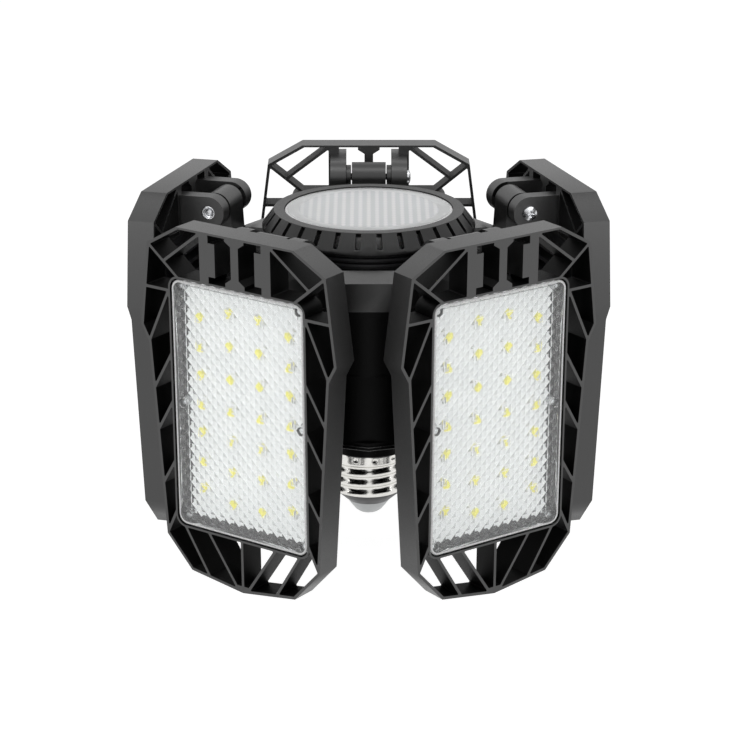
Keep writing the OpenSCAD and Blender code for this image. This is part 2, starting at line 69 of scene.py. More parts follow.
PANELS = (1, 2, 3, 4, 5)

# The panel whose CAD pieces all five panels copy
BACK_PANEL = 3

# Places in the lamp's frame
LAMP_TOP = 109.0
HINGE_RADIUS = 52.7
HINGE_HEIGHT = 106.17
LUG_OUT = 13.6

# Angles in degrees: the panels round the lamp, and their lean towards it at rest
FIRST_AZIMUTH = 36
PANEL_STEP = 72
REST_LEAN = 1.0

# Panel sizes about the hinge pin
FACE_Y = -19.8
RIM_MIDDLE = -51.45
COVER_HALF_WIDTH = 26.7
COVER_HALF_HEIGHT = 42.5
COVER_CORNER = 3.4
COVER_RECESS = 0.3
COVER_THICKNESS = 2.0
PLATE_DEPTH = 6.2
BOARD_FRONT = 4.8
PANEL_DEPTH = 9.3
BOSS_PLACES = [(x, z) for x in (-24.3, 24.3) for z in (-40.0, 0.0, 40.0)]

# One ripple inside the centre lens, which both its mesh and the painted highlights of its material
# follow
LENSLET_WIDTH = 2.8
LENSLET_LENGTH = 2.25

UPSIDE_DOWN = Matrix.Rotation(math.pi, 4, "X")


# ---------------------------------------------------------------- meshes

# Decimals of a millimetre that the ends of two lines share where they meet on a sheet, and the
# distance within which its triangulation merges points
KEY_DIGITS = 3
SHEET_MERGE = 1e-5

# Metres within which vertices are one: a CAD mesh's doubles, and the ends of a closed profile
CAD_WELD = 1e-6
SEAM_WELD = 1e-7


def link(name, mesh, place=None):
    """A new object that shows a mesh, at a place given as a matrix."""
    piece = bpy.data.objects.new(name, mesh)
    bpy.context.scene.collection.objects.link(piece)
    if place is not None:
        piece.matrix_world = place
    return piece


def finish_mesh(name, bm, materials, smooth_angle=None):
    """Turns a bmesh into a mesh, with its faces smooth where they meet at less than an angle."""
    bmesh.ops.recalc_face_normals(bm, faces=bm.faces)
    if smooth_angle is not None:
        limit = math.radians(smooth_angle)
        for face in bm.faces:
            face.smooth = True
        for edge in bm.edges:
            if len(edge.link_faces) == 2 and edge.calc_face_angle(0.0) > limit:
                edge.smooth = False
    mesh = bpy.data.meshes.new(name)
    bm.to_mesh(mesh)
    bm.free()
    for material in materials:
        mesh.materials.append(material)
    return mesh


def weight_normals(piece):
    """Keeps flat faces flat beside their rounded edges."""
    modifier = piece.modifiers.new("weighted normals", "WEIGHTED_NORMAL")
    modifier.keep_sharp = True


def ring(radius, count, centre=(0.0, 0.0)):
    """Points round a circle, anticlockwise."""
    return [
        (
            centre[0] + radius * math.cos(2 * math.pi * i / count),
            centre[1] + radius * math.sin(2 * math.pi * i / count),
        )
        for i in range(count)
    ]


def rounded_rectangle(half_width, half_height, radius, steps=8):
    """Points round a rectangle with round corners, anticlockwise from its right side."""
    points = []
    for side_x, side_y, start in ((1, 1, 0), (-1, 1, 90), (-1, -1, 180), (1, -1, 270)):
        for i in range(steps + 1):
            angle = math.radians(start + 90 * i / steps)
            points.append(
                (
                    side_x * (half_width - radius) + radius * math.cos(angle),
                    side_y * (half_height - radius) + radius * math.sin(angle),
                )
            )
    return points


def loop(bm, points, height):
    """A vertex at each of some (x, y) points, all at one height."""
    return [bm.verts.new((x * MM, y * MM, height * MM)) for x, y in points]


def bridge(bm, first, second, material=0):
    """Side faces between two loops of the same number of vertices."""
    count = len(first)
    for i in range(count):
        j = (i + 1) % count
        face = bm.faces.new((first[i], first[j], second[j], second[i]))
        face.material_index = material


def lathe(bm, profile, count, place=Matrix.Identity(4)):
    """Turns a profile of (radius, height) points about Z. A radius of 0 closes an end."""
    previous = None
    for radius, height in profile:
        points = ring(radius, count) if radius else [(0, 0)]
        current = [bm.verts.new(place @ Vector((x * MM, y * MM, height * MM))) for x, y in points]
        if previous is not None:
            for i in range(count):
                j = (i + 1) % count
                corners = [previous[i % len(previous)], previous[j % len(previous)]]
                corners += [current[j % len(current)], current[i % len(current)]]
                corners = list(dict.fromkeys(corners))
                if len(corners) > 2:
                    bm.faces.new(corners)
        previous = current


def open_box(bm, low, high, chamfer=0.0, material=0):
    """A box without its top, whose top edges may be cut back. Returns the loop round the top."""
    x0, y0, z0 = low
    x1, y1, z1 = high
    c = chamfer
    foot = [(x0, y0), (x1, y0), (x1, y1), (x0, y1)]
    roof = [(x0 + c, y0 + c), (x1 - c, y0 + c), (x1 - c, y1 - c), (x0 + c, y1 - c)]
    bottom = loop(bm, foot, z0)
    shoulder = loop(bm, foot, z1 - c) if c else bottom
    top = loop(bm, roof, z1)
    if c:
        bridge(bm, bottom, shoulder, material)
    bridge(bm, shoulder, top, material)
    bm.faces.new(list(reversed(bottom))).material_index = material
    return top


class Sheet:
    """A sheet in XY, to be cut into triangles along given lines, with a height at each point."""

    def __init__(self):
        self.points = []
        self.heights = []
        self.lines = []
        self.numbers = {}

    def add_loop(self, points):
        """Adds a closed line at height 0. Returns the number of its first point."""
        start = len(self.points)
        count = len(points)
        self.points += points
        self.heights += [0.0] * count
        self.lines += [(start + i, start + (i + 1) % count) for i in range(count)]
        return start

    def number(self, x, y, height):
        """The number of a point that lines share, which is new the first time it is asked for."""
        key = (round(x, KEY_DIGITS), round(y, KEY_DIGITS))
        if key not in self.numbers:
            self.numbers[key] = len(self.points)
            self.points.append(key)
            self.heights.append(height)
        return self.numbers[key]

    def triangulate(self):
        """The (x, y, height) corners, the triangles, and each point's corner."""
        merged, _, triangles, origins, _, _ = delaunay_2d_cdt(
            [Vector(point) for point in self.points], self.lines, [], 0, SHEET_MERGE
        )
        corners = [(p.x, p.y, self.heights[origin[0]]) for p, origin in zip(merged, origins)]
        spots = {number: i for i, origin in enumerate(origins) for number in origin}
        return corners, triangles, spots


def middle_of(corners, triangle):
    """The middle of a sheet's triangle, as (x, y)."""
    return tuple(sum(corners[i][axis] for i in triangle) / 3 for axis in (0, 1))


# ---------------------------------------------------------------- placing


def hinge_place(panel):
    """The matrix that takes a mesh drawn about the hinge pin to its panel."""
    azimuth = math.radians(FIRST_AZIMUTH + PANEL_STEP * (panel - 1))
    pin = Matrix.Translation((0, -HINGE_RADIUS * MM, HINGE_HEIGHT * MM))
    lean = Matrix.Rotation(math.radians(REST_LEAN), 4, "X")
    return Matrix.Rotation(azimuth, 4, "Z") @ pin @ lean


def outward(x, y, z):
    """Stands a mesh that was drawn face up in XY at a place on a panel, facing outwards."""
    return Matrix.Translation((x * MM, y * MM, z * MM)) @ Matrix.Rotation(math.radians(90), 4, "X")


def stand_for(piece, node, body):
    """Shows a piece instead of a CAD node, on a body."""
    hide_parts(node)
    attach(piece, body)


def on_panels(name, node, mesh, rounded=False):
    """One piece on each panel, all showing the same mesh, in the place of a CAD node."""
    for panel in PANELS:
        piece = link(f"{name}_{panel}", mesh, hinge_place(panel))
        if rounded:
            weight_normals(piece)
        stand_for(piece, f"{node}_{panel}", f"panel_{panel}")


def on_lamp(name, node, mesh, rounded=False):
    """A piece of the lamp itself, in the place of a CAD node."""
    piece = link(name, mesh)
    if rounded:
        weight_normals(piece)
    stand_for(piece, node, LAMP_BODY)


# ---------------------------------------------------------------- rounded copies of CAD meshes

# Material indices on a rounded copy
BODY_INDEX = 0
INNER_SHADE_INDEX = 1
EDGE_HIGHLIGHT_INDEX = 2

# Degrees between two faces that make a sharp edge, one flat face, and a visible crease
SHARP_ANGLE = 50.0
FLAT_ANGLE = 0.5
CREASE_ANGLE = 40.0

# How far off a face the search for a facing wall starts
RAY_START = 0.01


def paint_shade_on_inner_walls(bm):
    """Gives painted shade, a darker and duller material, to the faces that look at another face of
    the same piece.
    """
    bmesh.ops.recalc_face_normals(bm, faces=bm.faces)
    tree = BVHTree.FromBMesh(bm)
    for face in bm.faces:
        start = face.calc_center_median() + face.normal * RAY_START * MM
        hit = tree.ray_cast(start, face.normal)[0]
        if face.material_index == BODY_INDEX and hit is not None:
            face.material_index = INNER_SHADE_INDEX


def softened(name, node, material, width, place=None, inner=None, edge=None):
    """A copy of a CAD node's mesh with its sharp edges rounded off, as a mould leaves them.

    A place takes the copy back to the frame its panel is drawn in. The inner walls can take a
    darker material as painted shade, and the rounded edges a lighter one as a painted highlight.
    """
    bm = bmesh.new()
    bm.from_mesh(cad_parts[node].data)
    if place is not None:
        bm.transform(place.inverted())
    bmesh.ops.remove_doubles(bm, verts=bm.verts, dist=CAD_WELD)
    flat = math.radians(FLAT_ANGLE)
    bmesh.ops.dissolve_limit(bm, angle_limit=flat, verts=bm.verts, edges=bm.edges)
    for face in bm.faces:
        face.material_index = BODY_INDEX
    limit = math.radians(SHARP_ANGLE)
    sharp = [
        line
        for line in bm.edges
        if len(line.link_faces) == 2 and line.calc_face_angle(0.0) > limit
    ]
    rounded = bmesh.ops.bevel(
        bm,
        geom=sharp,
        offset=width * MM,
        offset_type="OFFSET",
        segments=2,
        profile=0.5,
        affect="EDGES",
        clamp_overlap=True,
    )
    # The rounded edges may take a painted highlight
    if edge is not None:
        for face in rounded["faces"]:
            face.material_index = EDGE_HIGHLIGHT_INDEX
    if inner is not None:
        paint_shade_on_inner_walls(bm)
    materials = [material, inner or material, edge or material]
    return finish_mesh(name, bm, materials, CREASE_ANGLE)


# ---------------------------------------------------------------- materials

# The range that noise seldom leaves
NOISE_LOW = 0.3
NOISE_HIGH = 0.7

# Width of one band of the wave texture at a scale of 1
WAVE_PERIOD = 2 * math.pi / 20

# What clear plastic lets through to light what is behind it
CLEAR_TINT = (0.93, 0.94, 0.94)
FROSTED_TINT = (0.8, 0.8, 0.8)


class Surface:
    """A material under construction: a Principled shader and the nodes that feed it."""

    def __init__(self, name, **values):
        self.material = bpy.data.materials.new(name)
        self.material.use_nodes = True
        self.tree = self.material.node_tree
        self.shader = self.tree.nodes["Principled BSDF"]
        for socket, value in values.items():
            self.shader.inputs[socket.replace("_", " ")].default_value = value
        self.place = self.tree.nodes.new("ShaderNodeTexCoord").outputs["Object"]

    def noise(self, scale, detail=3.0, roughness=0.5):
        node = self.tree.nodes.new("ShaderNodeTexNoise")
        node.inputs["Scale"].default_value = scale
        node.inputs["Detail"].default_value = detail
        node.inputs["Roughness"].default_value = roughness
        self.tree.links.new(self.place, node.inputs["Vector"])
        return node.outputs["Fac"]

    def wave(self, direction, period):
        """Soft bands across X or Y, with one in the middle."""
        node = self.tree.nodes.new("ShaderNodeTexWave")
        node.bands_direction = direction
        node.inputs["Scale"].default_value = WAVE_PERIOD / period
        node.inputs["Phase Offset"].default_value = math.pi
        self.tree.links.new(self.place, node.inputs["Vector"])
        return node.outputs["Fac"]

    def spread(self, factor, low, high, start=NOISE_LOW, end=NOISE_HIGH):
        """A number that runs from low to high as the factor runs from start to end."""
        node = self.tree.nodes.new("ShaderNodeMapRange")
        for socket, value in zip(node.inputs[1:5], (start, end, low, high)):
            socket.default_value = value
        self.tree.links.new(factor, node.inputs["Value"])
        return node.outputs["Result"]

    def colours(self, factor, low, high, start=NOISE_LOW, end=NOISE_HIGH):
        """A colour that runs from low to high as the factor runs from start to end."""
        node = self.tree.nodes.new("ShaderNodeValToRGB")
        node.color_ramp.elements[0].position = start
        node.color_ramp.elements[1].position = end
        node.color_ramp.elements[0].color = (*low, 1)
        node.color_ramp.elements[1].color = (*high, 1)
        self.tree.links.new(factor, node.inputs["Fac"])
        return node.outputs["Color"]

    def times(self, first, second):
        node = self.tree.nodes.new("ShaderNodeMath")
        node.operation = "MULTIPLY"
        self.tree.links.new(first, node.inputs[0])
        self.tree.links.new(second, node.inputs[1])
        return node.outputs[0]

    def feed(self, socket, output):
        self.tree.links.new(output, self.shader.inputs[socket])
        return self

    def bump(self, height, distance, strength):
        node = self.tree.nodes.new("ShaderNodeBump")
        node.inputs["Strength"].default_value = strength
        node.inputs["Distance"].default_value = distance
        self.tree.links.new(height, node.inputs["Height"])
        return self.feed("Normal", node.outputs["Normal"])

    def let_light_in(self, tint):
        """Lets lamplight straight through a clear piece, so that it lights what is behind."""
        nodes = self.tree.nodes
        clear = nodes.new("ShaderNodeBsdfTransparent")
        clear.inputs["Color"].default_value = (*tint, 1)
        mix = nodes.new("ShaderNodeMixShader")
        path = nodes.new("ShaderNodeLightPath")
        self.tree.links.new(path.outputs["Is Shadow Ray"], mix.inputs[0])
        self.tree.links.new(self.shader.outputs[0], mix.inputs[1])
        self.tree.links.new(clear.outputs[0], mix.inputs[2])
        self.tree.links.new(mix.outputs[0], nodes["Material Output"].inputs["Surface"])
        return self


def black_plastic(name, tone, roughness, shine):
    """Black moulded plastic with a fine spark-eroded grain."""
    surface = Surface(name, Specular_IOR_Level=shine)
    patches = surface.noise(scale=70.0)
    surface.feed("Base Color", surface.colours(patches, [tone * 0.85] * 3, [tone * 1.15] * 3))
    grain = surface.noise(scale=2600.0, detail=2.0)
    surface.feed("Roughness", surface.spread(grain, roughness - 0.05, roughness + 0.07))
    return surface.bump(grain, distance=0.00003, strength=0.5).material


def black_metal():
    """Black coated aluminium, finely blasted."""
    surface = Surface("black_coated_metal", Specular_IOR_Level=0.3)
    patches = surface.noise(scale=120.0)
    tint = surface.colours(patches, (0.009, 0.009, 0.010), (0.014, 0.014, 0.015))
    surface.feed("Base Color", tint)
    grain = surface.noise(scale=3500.0)
    surface.feed("Roughness", surface.spread(grain, 0.38, 0.5))
    return surface.bump(grain, distance=0.00002, strength=0.5).material


def clear_plastic(name, clearness, roughness, tone=0.98):
    """Moulded clear plastic; what it doesn't pass on straight, it scatters."""
    surface = Surface(name, IOR=1.5, Transmission_Weight=clearness)
    surface.shader.inputs["Base Color"].default_value = (tone * 0.99, tone, tone, 1)
    haze = surface.noise(scale=300.0)
    surface.feed("Roughness", surface.spread(haze, roughness - 0.02, roughness + 0.02))
    return surface.let_light_in(CLEAR_TINT).material


def rippled_plastic():
    """The centre lens: hazy clear plastic, with a painted highlight that makes it whiter along the
    middle of each column of ripples.
    """
    surface = Surface("rippled_plastic", IOR=1.5, Transmission_Weight=0.6)
    across = surface.wave("X", LENSLET_WIDTH * MM)
    along = surface.spread(surface.wave("Y", LENSLET_LENGTH * MM), 0.6, 1.0, start=0.0, end=1.0)
    # Painted highlight: the base colour whitens along the middle of each ripple column
    ripple_highlights = surface.times(across, along)
    tint = surface.colours(ripple_highlights, (0.74, 0.75, 0.77), (0.99, 0.99, 0.99), start=0.3, end=0.75)
    surface.feed("Base Color", tint)
    haze = surface.noise(scale=300.0)
    surface.feed("Roughness", surface.spread(haze, 0.04, 0.08))
    return surface.let_light_in(CLEAR_TINT).material


def frosted_plastic():
    """The clear pieces' outer borders: frosted white that scatters light, and also a painted
    highlight along their edges.
    """
    surface = Surface("frosted_edge_painted_highlight", IOR=1.9, Specular_IOR_Level=0.8)
    surface.shader.inputs["Base Color"].default_value = (0.97, 0.97, 0.97, 1)
    grain = surface.noise(scale=1500.0)
    surface.feed("Roughness", surface.spread(grain, 0.2, 0.35))
    return surface.let_light_in(FROSTED_TINT).material


def white_mask():
    """White solder mask, slightly uneven over its copper."""
    surface = Surface("white_solder_mask")
    tint = surface.noise(scale=150.0)
    surface.feed("Base Color", surface.colours(tint, (0.76, 0.77, 0.77), (0.82, 0.825, 0.82)))
    peel = surface.noise(scale=700.0)
    surface.feed("Roughness", surface.spread(peel, 0.3, 0.42))
    return surface.bump(peel, distance=0.00004, strength=0.3).material


def mottled(name, low, high, roughness, scale):
    """A plastic, gel or lacquer with a faint mottle and a (lowest, highest) roughness."""
    surface = Surface(name)
    mottle = surface.noise(scale)
    surface.feed("Base Color", surface.colours(mottle, low, high))
    return surface.feed("Roughness", surface.spread(mottle, *roughness)).material


def plated_metal(name, colour, roughness):
    """Bright plated metal with fine turning marks."""
    surface = Surface(name, Metallic=1.0)
    cloud = surface.noise(scale=260.0)
    dark = [c * 0.9 for c in colour]
    surface.feed("Base Color", surface.colours(cloud, dark, colour))
    fine = surface.noise(scale=1800.0)
    surface.feed("Roughness", surface.spread(fine, roughness - 0.04, roughness + 0.06))
    return surface.bump(fine, distance=0.00001, strength=0.4).material


FRAME_PLASTIC = black_plastic("frame_plastic", tone=0.006, roughness=0.4, shine=0.85)
HUB_PLASTIC = black_plastic("hub_plastic", tone=0.006, roughness=0.36, shine=0.7)
BEZEL_PLASTIC = black_plastic("bezel_plastic", tone=0.006, roughness=0.4, shine=0.4)
HOUSING_PLASTIC = black_plastic("housing_plastic", tone=0.003, roughness=0.34, shine=0.08)
# Painted shade: darker, duller plastic for walls that face other walls, where shade falls in recesses
INNER_SHADE_PLASTIC = black_plastic("painted_inner_shade_plastic", tone=0.003, roughness=0.5, shine=0.12)
# Painted highlight: lighter, glossier plastic on the rounded edges, standing in for their bright edge
# lines
EDGE_HIGHLIGHT_PLASTIC = black_plastic("painted_edge_highlight_plastic", tone=0.02, roughness=0.3, shine=1.0)
BLACK_METAL = black_metal()
CLEAR = clear_plastic("clear_plastic", clearness=0.94, roughness=0.07)
RIPPLED = rippled_plastic()
LENS_BORDER = clear_plastic("lens_border", clearness=0.4, roughness=0.15, tone=0.78)
FROSTED_HIGHLIGHT = frosted_plastic()
WHITE_MASK = white_mask()
NICKEL = plated_metal("nickel_plate", (0.78, 0.77, 0.74), roughness=0.16)
ZINC = plated_metal("zinc_plate", (0.72, 0.73, 0.75), roughness=0.25)
TIN = plated_metal("tinned_pad", (0.8, 0.8, 0.8), roughness=0.3)
SOLDER = plated_metal("solder_tip", (0.42, 0.43, 0.43), roughness=0.35)
LED_BODY = mottled("led_housing", (0.80, 0.79, 0.74), (0.86, 0.85, 0.80), (0.35, 0.5), 2500.0)
LED_YELLOW = mottled("led_phosphor", (0.80, 0.73, 0.08), (0.88, 0.83, 0.16), (0.25, 0.4), 3000.0)
LED_PALE = mottled("pale_led_phosphor", (0.80, 0.79, 0.52), (0.86, 0.85, 0.62), (0.25, 0.4), 3000.0)
INSULATOR = mottled("grey_insulator", (0.06, 0.06, 0.062), (0.085, 0.085, 0.088), (0.35, 0.48), 400.0)
GREEN_MASK = mottled("green_solder_mask", (0.02, 0.12, 0.05), (0.03, 0.16, 0.07), (0.25, 0.38), 400.0)
SLEEVE = mottled("capacitor_sleeve", (0.02, 0.03, 0.07), (0.03, 0.045, 0.1), (0.25, 0.38), 400.0)
TAPE = mottled("transformer_tape", (0.6, 0.42, 0.05), (0.72, 0.52, 0.08), (0.3, 0.43), 400.0)


# ---------------------------------------------------------------- panel covers

# One diamond prism, the plain border round their field, and the gap they leave round a boss
PRISM_WIDTH = 3.97
PRISM_HEIGHT = 3.9
PRISM_DEPTH = 0.32
PRISM_MARGIN = 0.8
PRISM_BOSS_GAP = 0.15

# Steps in which a line that leaves the field is shortened
CUT_STEPS = 12

# The cover's outer rim, and its bosses with their pilot holes
RIM_CHAMFER = 0.2
RIM_BAND = 0.6
BOSS_RADIUS = 1.5
BOSS_SIDES = 20
PILOT_RADIUS = 1.0
PILOT_TOP = 3.0


def cover_outline(inset):
    """The cover's outline, drawn in by an inset."""
    return rounded_rectangle(
        COVER_HALF_WIDTH - inset, COVER_HALF_HEIGHT - inset, COVER_CORNER - inset
    )


def clear_of_bosses(x, y, gap=0.0):
    """True if a point is more than a gap away from every boss."""
    return all(math.hypot(x - bx, y - by) > BOSS_RADIUS + gap for bx, by in BOSS_PLACES)


def in_prism_field(x, y):
    """True within the cover's plain border and off its bosses."""
    radius = COVER_CORNER - PRISM_MARGIN
    over_x = max(abs(x) - (COVER_HALF_WIDTH - PRISM_MARGIN - radius), 0.0)
    over_y = max(abs(y) - (COVER_HALF_HEIGHT - PRISM_MARGIN - radius), 0.0)
    return math.hypot(over_x, over_y) <= radius and clear_of_bosses(x, y, PRISM_BOSS_GAP)


def cut_off(start, end):
    """The part of a line between two (x, y, height) points that stays in the prism field."""
    if not in_prism_field(*start[:2]):
        start, end = end, start
    last = None
    if in_prism_field(*start[:2]):
        for k in range(1, CUT_STEPS + 1):
            point = tuple(a + (b - a) * k / CUT_STEPS for a, b in zip(start, end))
            if not in_prism_field(*point[:2]):
                break
            last = point
    return (start, last) if last else None


def prism_lines():
    """The edges of staggered four-sided prisms, as pairs of (x, y, height) points."""
    lines = []
    half_width = PRISM_WIDTH / 2
    half_height = PRISM_HEIGHT / 2
    columns = int(COVER_HALF_WIDTH / half_width) + 1
    rows = int(COVER_HALF_HEIGHT / half_height) + 1
    for i in range(-columns, columns + 1):
        for j in range(-rows, rows + 1):
            if (i + j) % 2:
                continue
            x = i * half_width
            y = j * half_height
            corners = [(x + half_width, y, 0.0), (x, y + half_height, 0.0)]
            corners += [(x - half_width, y, 0.0), (x, y - half_height, 0.0)]
            for k in range(4):
                lines.append(cut_off((x, y, PRISM_DEPTH), corners[k]))
                lines.append(cut_off(corners[k], corners[(k + 1) % 4]))
    return [line for line in lines if line]


def add_boss(bm, foot, centre):
    """A boss with a pilot hole, from its foot on the cover to the back plate."""
    tip_height = COVER_RECESS - PLATE_DEPTH
    tip = loop(bm, ring(BOSS_RADIUS, BOSS_SIDES, centre), tip_height)
    mouth = loop(bm, ring(PILOT_RADIUS, BOSS_SIDES, centre), tip_height)
    end = loop(bm, ring(PILOT_RADIUS, BOSS_SIDES, centre), -PILOT_TOP)
    bridge(bm, foot, tip)
    bridge(bm, tip, mouth)
    bridge(bm, mouth, end)
    bm.faces.new(end)


def cover_mesh():
    """The clear cover: smooth outside, diamond prisms inside, with six fixing bosses."""
    bm = bmesh.new()
    outline = cover_outline(0.0)
    front = loop(bm, cover_outline(RIM_CHAMFER + RIM_BAND), 0.0)
    band = loop(bm, cover_outline(RIM_CHAMFER), 0.0)
    shoulder = loop(bm, outline, -RIM_CHAMFER)
    bm.faces.new(front)
    # The rim band is frosted white, partly a painted edge highlight
    bridge(bm, front, band, 1)
    bridge(bm, band, shoulder, 1)
    sheet = Sheet()
    sheet.add_loop(outline)
    boss_starts = [sheet.add_loop(ring(BOSS_RADIUS, BOSS_SIDES, centre)) for centre in BOSS_PLACES]
    for line in prism_lines():
        sheet.lines.append(tuple(sheet.number(*point) for point in line))
    corners, triangles, spots = sheet.triangulate()
    base = COVER_THICKNESS - PRISM_DEPTH
    back = [bm.verts.new((x * MM, y * MM, -(base + height) * MM)) for x, y, height in corners]
    for triangle in triangles:
        if clear_of_bosses(*middle_of(corners, triangle)):
            bm.faces.new([back[i] for i in triangle])
    bridge(bm, shoulder, [back[spots[i]] for i in range(len(outline))])
    for start, centre in zip(boss_starts, BOSS_PLACES):
        add_boss(bm, [back[spots[start + i]] for i in range(BOSS_SIDES)], centre)
    bm.transform(outward(0, FACE_Y + COVER_RECESS, RIM_MIDDLE))
    return finish_mesh("panel_cover", bm, [CLEAR, FROSTED_HIGHLIGHT])


# ---------------------------------------------------------------- LEDs

# The panel's columns of LEDs, as (x, distance between two rows)
LED_COLUMNS = ((-18.3, 9.93), (-6.1, 10.95), (6.1, 10.95), (18.3, 9.93))
LED_ROWS = range(-3, 4)

# The rings of LEDs under the centre lens, as (radius, number of LEDs)
LED_RINGS = ((6, 4), (12, 8), (18, 15))

# One LED, with its sunk window and its solder pads
LED_WIDTH = 2.8
LED_HEIGHT = 3.5
LED_THICKNESS = 0.7
LED_CHAMFER = 0.12
WINDOW_INSET = 0.22
WINDOW_DEPTH = 0.12
WINDOW_SLOPE = 0.1
WINDOW_CORNER = 0.45
WINDOW_FLOOR_CORNER = 0.4
WINDOW_STEPS = 3
PAD_THICKNESS = 0.05
PAD_REACH = 0.35
PAD_OVERLAP = 0.5
PAD_INSET = 0.3


def led(bm, place):
    """A surface-mounted LED with its sunk phosphor window and its two solder pads."""
    part = bmesh.new()
    half_w = LED_WIDTH / 2
    half_h = LED_HEIGHT / 2
    foot = (-half_w, -half_h, PAD_THICKNESS)
    top = open_box(part, foot, (half_w, half_h, LED_THICKNESS), LED_CHAMFER)
    window_w = half_w - WINDOW_INSET
    window_h = half_h - WINDOW_INSET
    mouth = rounded_rectangle(window_w, window_h, WINDOW_CORNER, WINDOW_STEPS)
    rim = loop(part, mouth, LED_THICKNESS)
    floor = rounded_rectangle(
        window_w - WINDOW_SLOPE, window_h - WINDOW_SLOPE, WINDOW_FLOOR_CORNER, WINDOW_STEPS
    )
    sunk = loop(part, floor, LED_THICKNESS - WINDOW_DEPTH)
    arc_length = WINDOW_STEPS + 1
    for k in range(4):
        corner = top[(k + 2) % 4]
        following = top[(k + 3) % 4]
        arc = rim[k * arc_length : (k + 1) * arc_length]
        for a, b in zip(arc, arc[1:]):
            part.faces.new((corner, b, a))
        part.faces.new((corner, following, rim[((k + 1) * arc_length) % len(rim)], arc[-1]))
    bridge(part, rim, sunk)
    part.faces.new(sunk).material_index = 1
    for side in (-1, 1):
        y0, y1 = sorted((side * (half_h - PAD_OVERLAP), side * (half_h + PAD_REACH)))
        low = (-half_w + PAD_INSET, y0, 0)
        pad = open_box(part, low, (half_w - PAD_INSET, y1, PAD_THICKNESS), material=2)
        part.faces.new(pad).material_index = 2
    part.transform(place)
    copy = bpy.data.meshes.new("led")
    part.to_mesh(copy)
    part.free()
    bm.from_mesh(copy)
    bpy.data.meshes.remove(copy)


def panel_led_mesh():
    """A panel's 28 LEDs, standing on its board."""
    bm = bmesh.new()
    for x, pitch in LED_COLUMNS:
        for row in LED_ROWS:
            led(bm, outward(x, FACE_Y + BOARD_FRONT, RIM_MIDDLE + pitch * row))
    return finish_mesh("panel_leds", bm, [LED_BODY, LED_YELLOW, TIN])


def centre_led_mesh():
    """The rings of LEDs on the board under the centre lens."""
    bm = bmesh.new()
    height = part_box("centre_leds")[0].z
    for radius, count in LED_RINGS:
        for i in range(count):
            turn = Matrix.Rotation(2 * math.pi * i / count, 4, "Z")
            spoke = Matrix.Translation((0, radius * MM, 0))
            led(bm, Matrix.Translation((0, 0, height)) @ turn @ spoke)
    return finish_mesh("centre_leds", bm, [LED_BODY, LED_PALE, TIN])


# ---------------------------------------------------------------- centre lens

LENS_SIDES = 128
LENS_RADIUS = 28.3
LENS_TOP = LAMP_TOP - 0.3
LENS_BASE = LAMP_TOP - 2.0
SKIRT_RADIUS = 30.4
SKIRT_INNER = 29.0
SKIRT_FOOT = LAMP_TOP - 6.4

# Radius of the rippled field and of the frosted edge, which is partly a painted highlight, and the
# ripples' depth and cells
LENSLET_FIELD = 23.6
FROSTED_FROM = LENS_RADIUS - 0.6
LENSLET_DEPTH = 0.45
LENSLET_CUTS = 4

# From the middle of the outer face, over the edge and down the skirt to the inner face
LENS_PROFILE = [
    (0, LENS_TOP),
    (LENSLET_FIELD, LENS_TOP),
    (LENS_RADIUS - 0.9, LENS_TOP),
    (LENS_RADIUS - 0.15, LENS_TOP - 0.12),
    (LENS_RADIUS, LENS_TOP - 0.45),
    (LENS_RADIUS, LENS_BASE + 0.05),
    (SKIRT_RADIUS, LENS_BASE),
    (SKIRT_RADIUS, SKIRT_FOOT),
    (SKIRT_INNER, SKIRT_FOOT),
    (SKIRT_INNER, LENS_BASE),
]


def lenslet_centres():
    """The middles of the ripples that lie wholly inside their field."""
    centres = []
    reach = int(LENSLET_FIELD / LENSLET_LENGTH) + 1
    for i in range(-reach, reach + 1):
        for j in range(-reach, reach + 1):
            x = i * LENSLET_WIDTH
            y = j * LENSLET_LENGTH
            if math.hypot(abs(x) + LENSLET_WIDTH / 2, abs(y) + LENSLET_LENGTH / 2) < LENSLET_FIELD:
                centres.append((x, y))
    return centres


def add_lenslet(sheet, centre):
    """Adds one ripple to a sheet: a pillow, cut into small cells."""
    cuts = range(LENSLET_CUTS + 1)
    grid = {}
    for a in cuts:
        for b in cuts:
            across = a / LENSLET_CUTS
            along = b / LENSLET_CUTS
            x = centre[0] + (across - 0.5) * LENSLET_WIDTH
            y = centre[1] + (along - 0.5) * LENSLET_LENGTH
            swell = math.sin(math.pi * across) * math.sin(math.pi * along)
            grid[a, b] = sheet.number(x, y, LENSLET_DEPTH * swell)
    for a in cuts:
        for b in cuts:
            for neighbour in ((a + 1, b), (a, b + 1)):
                if neighbour in grid:
                    sheet.lines.append((grid[a, b], grid[neighbour]))


